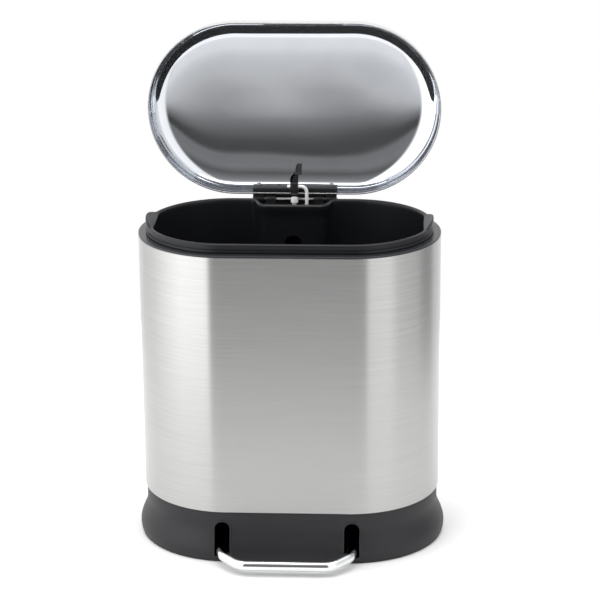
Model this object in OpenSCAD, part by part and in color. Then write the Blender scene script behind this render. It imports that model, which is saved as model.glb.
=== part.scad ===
// Oval pedal waste bin with a hinged domed lid, a lift-out bucket and a bar pedal.
// Units are millimetres.
// X runs to the right, Y to the back, Z up; the origin is on the floor under the body.
// The assembly is drawn with the pedal pressed and the lid standing open.

/* [Output] */
// Which sub-part to draw

/* [Body] */
// Full width of the steel body, left to right
body_w = 400; // [320:1:480]
// Full depth of the steel body, front to back
body_d = 240; // [200:1:280]
// Height of the lower edge of the steel body above the floor
shell_z0 = 68.5; // [60:0.5:80]
// Height of the upper edge of the steel body above the floor
shell_z1 = 421; // [380:1:460]
// Sheet thickness of the steel body
shell_t = 0.8; // [0.5:0.1:1.5]
// Thickness of the plastic collar ledge on top of the body
ledge_t = 2.5; // [2:0.1:4]
// Width of the collar ledge measured inwards
ledge_w = 15.5; // [12:0.5:20]

/* [Base] */
// How far the foot of the base stands out beyond the body
foot_out = 8; // [4:0.5:12]
// How far the neck of the base sits inside the body outline
neck_in = 2; // [1:0.5:4]
// Wall thickness of the base skirt
skirt_t = 3; // [2:0.25:4]
// Height at which the foot of the base is widest
foot_z = 12; // [8:1:16]
// Height at which the curved foot meets the straight neck
neck_z = 48; // [40:1:56]
// Distance from the middle to the centre of each pedal slot
slot_x = 86; // [70:1:100]
// Width of each pedal slot
slot_w = 20; // [17:0.5:24]
// Height of the bottom of each pedal slot
slot_z0 = 9; // [6:0.5:12]
// Height of the rounded top of each pedal slot
slot_z1 = 54; // [48:0.5:58]
// Width of the raised rim around each pedal slot
slot_rim = 2.5; // [1.5:0.25:4]

/* [Bucket] */
// Outer radius of the ends of the bucket rim
rim_r = 109.4; // [100:0.2:112]
// Height of the top of the bucket rim
rim_z = 436; // [430:0.5:440]
// Outer radius of the ends of the bucket just below its rim
bucket_r1 = 104; // [98:0.5:106]
// Outer radius of the ends of the bucket at its floor
bucket_r0 = 99; // [92:0.5:104]
// Height of the underside of the bucket
bucket_z0 = 63; // [60:0.5:80]
// Wall thickness of the bucket
bucket_t = 2; // [1.5:0.25:3]
// Height of the lifting ears
ear_z = 443; // [440:0.5:450]
// Half angle covered by each lifting ear
ear_a = 15; // [10:1:20]
// Diameter of the bag-tuck hole in the back of the bucket
bag_hole_d = 23; // [18:1:28]

/* [Lid] */
// Height of the open rim of the closed lid
lid_z0 = 424.4; // [424:0.1:426]
// Height of the side wall of the lid up to the shoulder
lid_side = 38; // [30:1:40]
// Height of the lid at its middle
lid_h = 44; // [40:0.5:60]
// Radius of the rounded shoulder of the lid
lid_round = 18; // [10:1:24]
// How far the lid rim sits inside the body outline
lid_in = 1; // [0:0.1:2]
// Sheet thickness of the lid
lid_t = 0.8; // [0.5:0.1:1.5]
// Angle the lid stands open at
lid_open = 90; // [0:1:90]

/* [Hinge] */
// Distance of the hinge pin behind the middle of the body
pin_y = 126.5; // [124:0.5:130]
// Height of the hinge pin
pin_z = 430; // [428:0.5:432]
// Diameter of the hinge pin
pin_d = 3; // [2.5:0.1:4]
// Length of the hinge pin
pin_l = 118; // [110:1:124]
// Width of the rear hinge housing
house_w = 118; // [110:1:130]
// Rear face of the hinge housing
house_y1 = 134; // [132:0.5:140]
// Bottom of the hinge housing
house_z0 = 366; // [360:1:380]

/* [Pedal] */
// Diameter of the pedal bar
bar_d = 14; // [10:0.5:15]
// Distance of the pedal axle in front of the middle of the body
axle_y = -20; // [-40:1:0]
// Height of the pedal axle
axle_z = 30; // [28:0.5:34]
// Diameter of the pedal axle
axle_d = 8; // [6:0.5:10]
// Distance from the axle to the front of the pedal bar
bar_reach = 147; // [140:1:155]
// Angle the pressed pedal slopes down at
press_a = 6.25; // [5:0.25:8]

/* [Lift rod] */
// Diameter of the lift rod
rod_d = 4.7; // [4:0.1:6]
// Sideways position of the lift rod
rod_x = 17; // [14:0.5:20]
// Front-to-back position of the upper rod pivot
rod_y1 = 114; // [112:0.5:116]
// Height of the upper rod pivot
rod_z1 = 451; // [448:0.5:454]
// Front-to-back position of the lower rod pivot
rod_y0 = 100; // [98:0.5:104]
// Height of the lower rod pivot
rod_z0 = 56; // [54:0.5:58]

/* [Damper] */
// Front-to-back position of the damper
damp_y = 118; // [116:0.5:120]
// Diameter of the damper plunger head
damp_head_d = 10; // [8:0.5:12]
// Height of the top of the raised plunger
damp_z1 = 435; // [432:0.5:436]

/* [Hidden] */
$fn = 96;
a0 = body_w / 2;
r0 = body_d / 2;
// half length of the straight front and back
hx = a0 - r0;
ledge_z = shell_z1 + ledge_t;
// end radius of the lid rim
lid_r = r0 - lid_in;
// the bucket keeps its own end centres
bx = a0 - 10 - rim_r;
steel = [0.78, 0.79, 0.8];
chrome = [0.88, 0.89, 0.9];
// height of the lid screws on the closed lid
screw_z = 442;
black = [0.12, 0.12, 0.13];
grey = [0.4, 0.41, 0.42];
white = [0.93, 0.93, 0.92];

// ---- shared shapes -------------------------------------------------------

// oval plan of end radius r on end centres at +-h
module oval2d(h, r) {
    square([2 * h, 2 * r], center = true);
    translate([h, 0]) circle(r);
    translate([-h, 0]) circle(r);
}

// straight-sided oval block from z0 to z1
module oval(h, r, z0, z1) {
    translate([0, 0, z0]) linear_extrude(z1 - z0) oval2d(h, r);
}

// a closed section (distance from the oval centre line, height) carried all round
module oval_sweep(h) {
    translate([h, 0, 0]) rotate([0, 0, -90]) rotate_extrude(angle = 180, $fn = 128) children();
    translate([-h, 0, 0]) rotate([0, 0, 90]) rotate_extrude(angle = 180, $fn = 128) children();
    rotate([90, 0, -90]) linear_extrude(2 * h, center = true) children();
    rotate([90, 0, 90]) linear_extrude(2 * h, center = true) children();
}

// oval block whose end radius changes from ra at z0 to rb at z1
module tapered_oval(h, ra, rb, z0, z1) {
    translate([h, 0, z0]) cylinder(h = z1 - z0, r1 = ra, r2 = rb);
    translate([-h, 0, z0]) cylinder(h = z1 - z0, r1 = ra, r2 = rb);
    rotate([90, 0, 90]) linear_extrude(2 * h, center = true)
        polygon([[-ra, z0], [ra, z0], [rb, z1], [-rb, z1]]);
}

module lid_pose() {
    translate([0, pin_y, pin_z]) rotate([-lid_open, 0, 0]) translate([0, -pin_y, -pin_z]) children();
}

module pedal_pose() {
    translate([0, axle_y, axle_z]) rotate([press_a, 0, 0]) children();
}

module x_rod(x0, x1, y, z, d) {
    translate([x0, y, z]) rotate([0, 90, 0]) cylinder(h = x1 - x0, d = d, $fn = 64);
}

// ---- body ----------------------------------------------------------------

module steel_shell() {
    color(steel) difference() {
        union() {
            oval(hx, r0, shell_z0, shell_z1);
            translate([-7, r0 - 0.2, shell_z0]) cube([14, 0.8, house_z0 - shell_z0 - 6]);
        }
        oval(hx, r0 - shell_t, shell_z0 + shell_t, shell_z1 + 1);
        oval(hx, r0 - 7, shell_z0 - 1, shell_z0 + 2);
        // relief in the hem for the lever and the lift rod
        translate([-14, 90, shell_z0 - 1]) cube([46, r0 - shell_t - 90, 3]);
        translate([-house_w / 2 - 0.5, 60, house_z0 - 0.5]) cube([house_w + 1, 100, 100]);
    }
}

// ring that caps the steel and carries the bucket
module collar_ring() {
    color(grey) difference() {
        union() {
            difference() {
                oval(hx, r0, shell_z1, ledge_z);
                oval(hx, r0 - ledge_w, shell_z1 - 1, ledge_z + 1);
            }
            difference() {
                oval(hx, r0 - shell_t - 0.1, shell_z1 - 16, shell_z1);
                oval(hx, r0 - shell_t - 2.3, shell_z1 - 17, shell_z1 + 1);
            }
            difference() {
                oval(hx, r0 - ledge_w + 2, shell_z1 - 6, shell_z1);
                oval(hx, r0 - ledge_w, shell_z1 - 7, shell_z1 + 1);
            }
        }
        translate([-house_w / 2 - 0.3, 60, shell_z1 - 30]) cube([house_w + 0.6, 100, 60]);
    }
}

// ---- base ----------------------------------------------------------------

// how far the outer face of the base stands out from the body at height z
function flare(z) = z < foot_z ? foot_out - 2.3 * (foot_z - z) / foot_z
    : z < neck_z ? -neck_in + (foot_out + neck_in) * (0.5 + 0.5 * cos(180 * (z - foot_z) / (neck_z - foot_z)))
    : -neck_in;

// heights at which the section of the base is taken
skirt_zs = [0.8, foot_z, for (i = [1:9]) foot_z + (neck_z - foot_z) * i / 9, shell_z0];

module skirt_section(grow, t) {
    polygon([
        for (z = skirt_zs) [r0 + flare(z) + grow, z],
        for (i = [len(skirt_zs) - 1:-1:0]) [r0 + flare(skirt_zs[i]) + grow - t, skirt_zs[i]]
    ]);
}

// plan outline of a pedal slot seen from the front, grown by g
module slot2d(g) {
    translate([0, slot_z1 - slot_w / 2]) circle(slot_w / 2 + g);
    translate([-slot_w / 2 - g, slot_z0 - g])
        square([slot_w + 2 * g, slot_z1 - slot_w / 2 - slot_z0 + g]);
}

module slot_block(g) {
    for (s = [-1, 1]) translate([s * slot_x, -95, 0]) rotate([90, 0, 0])
        linear_extrude(60) slot2d(g);
}

module base_skirt() {
    color(black) difference() {
        union() {
            oval_sweep(hx) skirt_section(0, skirt_t);
            oval_sweep(hx) polygon([
                [r0 - neck_in - skirt_t - 6, shell_z0 - 3],
                [r0 - neck_in - 1, shell_z0 - 3],
                [r0 - neck_in - 1, shell_z0],
                [r0 - neck_in - skirt_t - 6, shell_z0]
            ]);
            intersection() {
                slot_block(slot_rim);
                oval_sweep(hx) skirt_section(0.8, skirt_t + 3);
            }
            // screw posts, each joined to the wall by a web
            for (s = [-1, 1]) {
                for (t = [-1, 1]) translate([s * 60, t * (r0 - 12), 6.2]) {
                    cylinder(h = 18, d = 10, $fn = 48);
                    translate([-1.5, t * 8.5 - 8, 0]) cube([3, 16, 18]);
                }
                translate([s * (a0 - 12), 0, 6.2]) {
                    cylinder(h = 18, d = 10, $fn = 48);
                    translate([s * 8.5 - 8, -1.5, 0]) cube([16, 3, 18]);
                }
            }
        }
        slot_block(0);
        translate([-14, 90, shell_z0 - 4]) cube([46, r0 - neck_in - skirt_t - 90, 6]);
        for (p = screw_spots()) translate([p[0], p[1], 5]) cylinder(h = 15, d = 4, $fn = 32);
    }
}

// floor of the base, screwed up into the skirt
module base_plate() {
    color(black) difference() {
        union() {
            oval(hx, r0 + 3, 3, 6);
        }
        for (s = [-1, 1]) for (t = [-1, 1]) translate([s * 113, axle_y + 10 * t, 3.6]) cylinder(h = 10, d = 4, $fn = 32);
        for (p = foot_spots()) translate([p[0], p[1], 2]) cylinder(h = 2.2, d = 20.4);
        for (p = screw_spots()) translate([p[0], p[1], 2]) cylinder(h = 10, d = 4.1, $fn = 32);
    }
}

function foot_spots() = [for (s = [-1, 1]) for (t = [-1, 1]) [s * 118, t * 82], [-170, 0], [170, 0]];

function screw_spots() = [for (s = [-1, 1]) for (t = [-1, 1]) [s * 60, t * (r0 - 12)], [-(a0 - 12), 0], [a0 - 12, 0]];

module rubber_feet() {
    color([0.2, 0.2, 0.2]) for (p = foot_spots()) translate([p[0], p[1], 0]) {
        cylinder(h = 4.2, d = 20);
    }
}

// screws that hold the base plate up to its bosses
module base_screws() {
    color(steel) for (p = screw_spots()) translate([p[0], p[1], 0]) {
        translate([0, 0, 1]) cylinder(h = 2, d = 8, $fn = 48);
        translate([0, 0, 3]) cylinder(h = 16, d = 4, $fn = 32);
    }
}

// ---- bucket --------------------------------------------------------------

// hinge recess in the back of the bucket, its walls moved out by g
module notch2d(g) {
    translate([-33, 77.5 - g]) square([66, 80]);
    translate([-45 - g, 89.5]) square([90 + 2 * g, 80]);
    for (s = [-1, 1]) {
        translate([s * 33, 89.5]) circle(12 + g);
        translate([s * 51 + s * g / 2, 115]) difference() {
            square([12 + g + 1, 35.2], center = true);
            translate([s * (6 - g / 2), -17.6]) circle(12 - g);
        }
    }
}

module notch(g, z0, z1) {
    translate([0, 0, z0]) linear_extrude(z1 - z0) notch2d(g);
}

// raised grip at one end of the bucket rim
module ear() {
    translate([bx, 0, 0]) rotate([0, 0, -ear_a]) rotate_extrude(angle = 2 * ear_a)
        polygon([[rim_r - 8, rim_z - 3], [rim_r - 2.2, ear_z], [rim_r, ear_z], [rim_r, rim_z - 3]]);
}

module inner_bucket() {
    color(black) difference() {
        union() {
            difference() {
                tapered_oval(bx, bucket_r0, bucket_r1, bucket_z0, rim_z - 2);
                notch(0, bucket_z0 - 1, rim_z + 1);
            }
            difference() {
                oval(bx, rim_r, ledge_z, rim_z);
                difference() {
                    oval(bx, rim_r - 2, ledge_z - 1, rim_z - 2);
                    oval(bx, bucket_r1 - 0.5, ledge_z - 2, rim_z - 1);
                }
                notch(0, ledge_z - 1, rim_z + 1);
            }
            ear();
            mirror([1, 0, 0]) ear();
        }
        difference() {
            tapered_oval(bx, bucket_r0 - bucket_t, bucket_r1 - bucket_t - 0.1, bucket_z0 + 2.5, rim_z + 1);
            notch(bucket_t, bucket_z0, rim_z + 2);
        }
        translate([0, 90, 381]) rotate([90, 0, 0]) cylinder(h = 30, d = bag_hole_d);
    }
}

// ---- hinge housing -------------------------------------------------------

module knuckle(x0, x1, r) {
    x_rod(x0, x1, pin_y, pin_z, 2 * r);
}

// plan of the rear box, its outer corners rounded
module house2d(r) {
    translate([-house_w / 2, 114]) square([house_w, house_y1 - 114 - r]);
    translate([-house_w / 2 + r, 114]) square([house_w - 2 * r, house_y1 - 114]);
    for (s = [-1, 1]) translate([s * (house_w / 2 - r), house_y1 - r]) circle(r);
}

// plan of the well, its walls moved in by t
module well2d(t) {
    translate([-32.5, 80 + t]) square([65, 37 - t - t * 0.6]);
    translate([-42 + t, 89.5]) square([84 - 2 * t, 27.5 - t * 0.6]);
    for (s = [-1, 1]) translate([s * 32.5, 89.5]) circle(9.5 - t);
}

module hinge_housing() {
    color(black) difference() {
        union() {
            // top plate at ledge height
            translate([-house_w / 2, r0 - ledge_w, shell_z1]) cube([house_w, 20, ledge_t]);
            // well that hangs inside the recess of the bucket
            translate([0, 0, 396]) linear_extrude(ledge_z - 396) well2d(0);
            // wall behind the pin
            translate([4 - house_w / 2, house_y1 - 3, ledge_z - 1]) cube([house_w - 8, 3, 13]);
            // rear box
            translate([0, 0, house_z0]) linear_extrude(ledge_z - house_z0) house2d(5);
            // fixed hinge knuckles
            for (s = [-1, 1]) {
                knuckle(s * 33 - 7, s * 33 + 7, 4.6);
                translate([s * 33 - 7, pin_y - 4, ledge_z - 1]) cube([14, 8, pin_z - ledge_z + 1]);
            }
        }
        // hollow of the well
        translate([0, 0, 399]) linear_extrude(40) well2d(2.5);
        // hollow of the rear box, left and right of the damper boss
        for (s = [-1, 1]) translate([s * 34 - 24.5, 100, house_z0 + 2.5]) cube([49, house_y1 - 102.5, 393.5 - house_z0 - 2.5]);
        for (s = [-1, 1]) translate([s * 34 - 24.5, 117.5, 390]) cube([49, house_y1 - 120, 28.5]);
        // room for the lift rod
        translate([rod_x - 6, 96, 390]) cube([12, 21.3, 20]);
        translate([rod_x - 6, 106, house_z0 - 1]) cube([12, 12.2, 60]);
        // bore for the damper and the shaft of its head
        translate([0, damp_y, 372]) cylinder(h = 60, d = 12);
        translate([-6, 100, 411]) cube([12, 18, 30]);
        // bore for the pin
        x_rod(-60, 60, pin_y, pin_z, pin_d);
        // cover screws
        for (p = house_screws()) translate([p[0], house_y1 - 3, p[1]]) rotate([-90, 0, 0]) cylinder(h = 5, d = 3.6, $fn = 32);
    }
}

function house_screws() = [for (s = [-1, 1]) for (z = [376, 412]) [s * 52, z]];

module housing_screws() {
    color(steel) for (p = house_screws()) translate([p[0], house_y1, p[1]]) rotate([-90, 0, 0]) {
        cylinder(h = 1.8, d = 7, $fn = 48);
        translate([0, 0, -14]) cylinder(h = 14, d = 3.5, $fn = 32);
    }
}

module damper_body() {
    color(grey) translate([0, damp_y, 0]) difference() {
        translate([0, 0, 372]) cylinder(h = 38, d = 11.9);
        translate([0, 0, 375]) cylinder(h = 40, d = 6.1, $fn = 64);
    }
}

module damper_plunger() {
    color(white) translate([0, damp_y, 0]) {
        translate([0, 0, damp_z1 - 8]) cylinder(h = 7, d = damp_head_d, $fn = 64);
        translate([0, 0, damp_z1 - 1]) cylinder(h = 1, d1 = damp_head_d, d2 = damp_head_d - 2, $fn = 64);
        translate([0, 0, damp_z1 - 42]) cylinder(h = 35, d = 6, $fn = 64);
    }
}

module hinge_pin() {
    color(chrome) x_rod(-pin_l / 2, pin_l / 2, pin_y, pin_z, pin_d);
}

// ---- lid -----------------------------------------------------------------

// outer section of the lid as (distance from centre line, height), moved in by t
function lid_curve(t) = [
    [lid_r - 0.8 - t, 0],
    [lid_r - 1.2 - t, lid_side - lid_round],
    for (i = [1:7]) [
        lid_r - 1.2 - lid_round + (lid_round - t) * cos(i * 80 / 7),
        lid_side - lid_round + (lid_round - t) * sin(i * 80 / 7)
    ],
    [lid_r * 0.5, lid_side + (lid_h - lid_side) * 0.72 - t],
    [0, lid_h - t]
];

module lid_solid(t, z0) {
    intersection() {
        oval_sweep(hx) polygon([[0, z0], [lid_r - 0.8 - t, z0], each lid_curve(t)]);
        translate([-300, -300, z0]) cube([600, 600, 100]);
    }
}

module lid_shell() {
    color(steel) lid_pose() translate([0, 0, lid_z0]) difference() {
        union() {
            lid_solid(0, 0);
            oval(hx, lid_r, 0, 2.4);
        }
        lid_solid(lid_t, -1);
        lid_holes();
    }
}

// screw holes through the back of the lid, in lid height
module lid_holes() {
    for (x = [-50, 50]) translate([x, lid_r - 5, screw_z - lid_z0]) rotate([-90, 0, 0]) cylinder(h = 10, d = 4.2, $fn = 32);
}

// plate that clamps the back of the lid from the inside
module lid_clamp_plate() {
    color(black) lid_pose() difference() {
        translate([-58, lid_r - 9, 426]) cube([116, 6.2, 23]);
        for (x = [-50, 50]) translate([x, lid_r - 10, screw_z]) rotate([-90, 0, 0]) cylinder(h = 12, d = 4.1, $fn = 32);
        translate([-22, lid_r - 10, 440]) rotate([-90, 0, 0]) cylinder(h = 12, d = 5, $fn = 32);
        // seat for the rod clip
        translate([-6.2, lid_r - 10, 425]) cube([12.4, 12, 3]);
    }
}

// outer hinge leaf with the two moving knuckles
module hinge_leaf() {
    color(steel) lid_pose() difference() {
        union() {
            translate([-58, lid_r - 0.7, 428.5]) cube([116, 1.2, 20.5]);
            for (s = [-1, 1]) {
                knuckle(s * 49.5 - 8, s * 49.5 + 8, 3.6);
                translate([s * 49.5 - 8, lid_r - 0.7, 428.5]) cube([16, pin_y - lid_r - 1, 2.6]);
            }
        }
        x_rod(-60, 60, pin_y, pin_z, pin_d + 0.1);
        for (x = [-50, 50]) translate([x, lid_r - 5, screw_z]) rotate([-90, 0, 0]) cylinder(h = 10, d = 3.4, $fn = 32);
    }
}

module lid_screws() {
    color(steel) lid_pose() for (x = [-50, 50]) translate([x, 0, screw_z]) {
        translate([0, lid_r - 10.8, 0]) rotate([-90, 0, 0]) cylinder(h = 1.8, d = 7, $fn = 48);
        translate([0, lid_r - 9, 0]) rotate([-90, 0, 0]) cylinder(h = 11, d = 3.4, $fn = 32);
    }
}

// clip that holds the top of the lift rod against the clamp plate
module rod_clip() {
    color(grey) difference() {
        union() {
            translate([-6, 118, 440.3]) cube([12, 6, 3.7]);
            translate([-6, 109.5, 444]) cube([12, 15, 13]);
            translate([-6, 113, 457]) cube([12, 8, 13]);
            for (i = [0:3]) translate([-6, 112, 458.5 + i * 3]) cube([12, 1.5, 1.4]);
        }
        x_rod(-10, 10, rod_y1, rod_z1, rod_d + 0.1);
    }
}

// ---- lift rod ------------------------------------------------------------

rod_lean = atan((rod_y1 - rod_y0) / (rod_z1 - rod_z0));
rod_len = sqrt(pow(rod_y1 - rod_y0, 2) + pow(rod_z1 - rod_z0, 2));
rod_bend = 8;

// quarter bend from the upright part towards -X
module rod_corner() {
    rotate([90, 0, 0]) rotate_extrude(angle = 90, $fn = 64) translate([rod_bend, 0]) circle(d = rod_d, $fn = 48);
}

module lift_rod() {
    color(steel) translate([0, rod_y1, rod_z1]) rotate([-rod_lean, 0, 0]) {
        translate([rod_x, 0, -rod_len + rod_bend]) cylinder(h = rod_len - 2 * rod_bend, d = rod_d, $fn = 48);
        translate([rod_x - rod_bend, 0, -rod_bend]) rod_corner();
        translate([rod_x - rod_bend, 0, -rod_len + rod_bend]) mirror([0, 0, 1]) rod_corner();
        x_rod(-9, rod_x - rod_bend, 0, 0, rod_d);
        x_rod(-1, rod_x - rod_bend, 0, -rod_len, rod_d);
    }
}

// push-on washer at the lower end of the rod
module rod_retainer() {
    color(steel) difference() {
        x_rod(0.6, 1.8, rod_y0, rod_z0, 10);
        x_rod(0, 3, rod_y0, rod_z0, rod_d);
    }
}

// ---- pedal ---------------------------------------------------------------

bend_r = 24;
// front corner and side corner of the bar in plan, measured from the axle
corner_x = 60;
corner_y = -bar_reach;
side_y = -bar_reach + (slot_x - corner_x);
cut = bend_r * tan(22.5);

// one half of the bent bar in the plane of the arms; the bends are drawn thinner by the metal's stretch
module half_bar() {
    // side arm
    translate([slot_x, 0, 0]) rotate([90, 0, 0]) cylinder(h = -side_y - cut, d = bar_d);
    // first bend
    translate([slot_x - bend_r, side_y + cut, 0]) rotate([0, 0, -45]) rotate_extrude(angle = 45)
        translate([bend_r, 0]) circle(d = bar_d - 0.05);
    // diagonal
    translate([slot_x - cut * cos(45), side_y - cut * sin(45), 0]) rotate([0, 0, -45]) rotate([90, 0, 0])
        translate([0, 0, -0.03]) cylinder(h = (slot_x - corner_x) * sqrt(2) - 2 * cut + 0.06, d = bar_d);
    // second bend
    translate([corner_x - cut, corner_y + bend_r, 0]) rotate([0, 0, -90]) rotate_extrude(angle = 45)
        translate([bend_r, 0]) circle(d = bar_d - 0.05);
}

module pedal_bar() {
    $fn = 48;
    color(chrome) pedal_pose() difference() {
        union() {
            half_bar();
            mirror([1, 0, 0]) half_bar();
            // front straight
            translate([cut - corner_x, corner_y, 0]) rotate([0, 90, 0]) cylinder(h = 2 * (corner_x - cut), d = bar_d);
            for (s = [-1, 1]) x_rod(s * (slot_x - 1) - 6, s * (slot_x - 1) + 6, 0, 0, 16);
        }
        x_rod(-100, 100, 0, 0, axle_d + 0.1);
    }
}

module pedal_cross_tube() {
    color(steel) pedal_pose() difference() {
        x_rod(7 - slot_x, slot_x - 7, 0, 0, 14);
        x_rod(-100, 100, 0, 0, axle_d + 0.1);
    }
}

// rear pivot measured from the axle in the plane of the arms
rear_y = (rod_y0 - axle_y) * cos(press_a) + (rod_z0 - axle_z) * sin(press_a);
rear_z = -(rod_y0 - axle_y) * sin(press_a) + (rod_z0 - axle_z) * cos(press_a);

// upright steel plate from the cross tube to the foot of the lift rod
module pedal_lever() {
    color(steel) pedal_pose() translate([3, 0, 0]) rotate([90, 0, 90]) linear_extrude(3) difference() {
        union() {
            circle(13);
            polygon([
                [0, -11], [rear_y - 12, rear_z - 9], [rear_y + 6.2, rear_z - 9],
                [rear_y + 12.2, rear_z - 3], [rear_y + 12.2, rear_z + 3],
                [rear_y + 6.2, rear_z + 9], [rear_y - 16, rear_z + 9], [0, 11]
            ]);
        }
        circle(d = 14);
        translate([rear_y - 6, rear_z - 4.4]) square([12, 9]);
        for (s = [-1, 1]) translate([rear_y + 6 * s, rear_z + 0.1]) circle(4.6);
        translate([70, 7]) circle(5);
        translate([45, 4]) circle(5);
    }
}

// collars that pinch the lever on the cross tube
module lever_collars() {
    color(steel) pedal_pose() difference() {
        union() {
            x_rod(-5, 3, 0, 0, 22);
            x_rod(6, 14, 0, 0, 22);
        }
        x_rod(-10, 20, 0, 0, 14);
    }
}

module pedal_axle() {
    color(steel) x_rod(-106, 106, axle_y, axle_z, axle_d);
}

// saddles that carry the ends of the axle
module axle_brackets() {
    color(black) for (s = [-1, 1]) difference() {
        union() {
            translate([s * 98.5 - 3.5, axle_y - 16, 6]) cube([7, 32, 12]);
            translate([s * 98.5 - 3.5, axle_y - 9, 6]) cube([7, 18, axle_z - 6]);
            x_rod(s * 98.5 - 3.5, s * 98.5 + 3.5, axle_y, axle_z, 18);
            translate([s * 108.5 - 13.5 , axle_y - 16, 6]) cube([27, 32, 4]);
        }
        x_rod(-120, 120, axle_y, axle_z, axle_d);
        for (t = [-1, 1]) translate([s * 113, axle_y + 10 * t, 5]) cylinder(h = 8, d = 4.2, $fn = 32);
    }
}

module bracket_screws() {
    color(steel) for (s = [-1, 1]) for (t = [-1, 1]) translate([s * 113, axle_y + 10 * t, 0]) {
        translate([0, 0, 10]) cylinder(h = 2.5, d = 7.5, $fn = 48);
        translate([0, 0, 3.6]) cylinder(h = 6.4, d = 4, $fn = 32);
    }
}

// snap rings on the ends of the axle
module axle_clips() {
    color(steel) for (s = [-1, 1]) difference() {
        x_rod(s * 103.2 - 0.6, s * 103.2 + 0.6, axle_y, axle_z, 14);
        x_rod(-120, 120, axle_y, axle_z, axle_d);
    }
}

// ---- output --------------------------------------------------------------

steel_shell();
collar_ring();
base_skirt();
base_plate();
rubber_feet();
base_screws();
inner_bucket();
hinge_housing();
housing_screws();
damper_body();
hinge_pin();
pedal_axle();
axle_brackets();
bracket_screws();
axle_clips();
lid_shell();
lid_clamp_plate();
hinge_leaf();
lid_screws();
rod_clip();
lift_rod();
rod_retainer();
pedal_bar();
pedal_cross_tube();
pedal_lever();
lever_collars();
damper_plunger();
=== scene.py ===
"""Oval pedal waste bin with its lid open, in a plain pale studio.

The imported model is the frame. Each large skin is worked out again with numpy
as a smooth surface in the same place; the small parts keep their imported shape.
Lengths are written in millimetres and turned into metres when a mesh is made.
"""
import math

import bmesh
import bpy
import numpy as np
from mathutils import Matrix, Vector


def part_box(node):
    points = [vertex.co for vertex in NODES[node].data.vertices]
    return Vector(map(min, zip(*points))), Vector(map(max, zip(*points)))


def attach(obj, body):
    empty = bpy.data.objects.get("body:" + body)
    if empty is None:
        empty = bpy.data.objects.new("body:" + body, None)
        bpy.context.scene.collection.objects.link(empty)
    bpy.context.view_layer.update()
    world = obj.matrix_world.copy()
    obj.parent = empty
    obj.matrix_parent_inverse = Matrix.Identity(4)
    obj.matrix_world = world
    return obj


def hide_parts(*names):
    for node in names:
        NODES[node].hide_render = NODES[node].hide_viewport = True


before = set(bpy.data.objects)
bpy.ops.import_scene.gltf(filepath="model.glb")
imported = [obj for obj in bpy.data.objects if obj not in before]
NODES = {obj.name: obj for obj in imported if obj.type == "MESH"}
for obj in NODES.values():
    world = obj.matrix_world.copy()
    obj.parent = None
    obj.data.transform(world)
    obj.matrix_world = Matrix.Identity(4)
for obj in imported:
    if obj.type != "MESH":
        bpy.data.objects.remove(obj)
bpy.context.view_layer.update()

MM = 0.001


def box_mm(node):
    """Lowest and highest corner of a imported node, in millimetres."""
    lo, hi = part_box(node)
    return np.array(lo) / MM, np.array(hi) / MM


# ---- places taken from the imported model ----
shell_lo, shell_hi = box_mm("steel_shell")
BODY_R = -shell_lo[1]                      # radius of the rounded ends of the body
HALF = shell_hi[0] - BODY_R                # half the straight part of the front
SHELL_Z0, SHELL_Z1 = shell_lo[2], shell_hi[2]
LEDGE_Z = box_mm("collar_ring")[1][2]
house_lo, house_hi = box_mm("hinge_housing")
HOUSE_HALF = house_hi[0]
pin_lo, pin_hi = box_mm("hinge_pin")
PIN_Y, PIN_Z = (pin_lo[1] + pin_hi[1]) / 2, (pin_lo[2] + pin_hi[2]) / 2
lid_lo, lid_hi = box_mm("lid_shell")
LID_R = (lid_hi[2] - lid_lo[2]) / 2
LID_DEEP = lid_hi[1] - lid_lo[1]
RIM_CLOSED = lid_lo[1] + PIN_Z - PIN_Y     # height of the shut lid's rim
axle_lo, axle_hi = box_mm("pedal_axle")
AXLE_Y, AXLE_Z = -20.0, (axle_lo[2] + axle_hi[2]) / 2

# ---- sizes that several pieces share ----
SHEET = 0.8                                # thickness of the steel sheet
BEAD = 1.2                                 # radius of the rolled rim of the lid
LID_WALL = 20.0                            # height of the lid's upright wall
SLOT_X, SLOT_HALF = 86.0, 10.0             # middle and half width of each pedal slot
BUCKET_HALF = 80.6                         # half the straight part of the bucket's front
ROD_R, ROD_Y, ROD_Z = 2.35, 114.0, 451.0   # radius of the lift rod, and the place of its upper arm


# ---- finishes ----
class Value:
    """A number, colour or vector that varies over a surface. Arithmetic on it adds Math nodes."""

    def __init__(self, finish, socket):
        self.finish, self.socket = finish, socket

    def _math(self, operation, a, b):
        return self.finish.node("ShaderNodeMath", {"operation": operation}, {0: a, 1: b})

    def __add__(self, o): return self._math("ADD", self, o)
    def __radd__(self, o): return self._math("ADD", o, self)
    def __sub__(self, o): return self._math("SUBTRACT", self, o)
    def __rsub__(self, o): return self._math("SUBTRACT", o, self)
    def __mul__(self, o): return self._math("MULTIPLY", self, o)
    def __rmul__(self, o): return self._math("MULTIPLY", o, self)
    def __truediv__(self, o): return self._math("DIVIDE", self, o)
    def __rtruediv__(self, o): return self._math("DIVIDE", o, self)

    def step(self, low, high):
        """0 below low, 1 above high, and a smooth S between them."""
        return self.finish.node(
            "ShaderNodeMapRange", {"interpolation_type": "SMOOTHSTEP"},
            {"Value": self, "From Min": low, "From Max": high})


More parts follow.
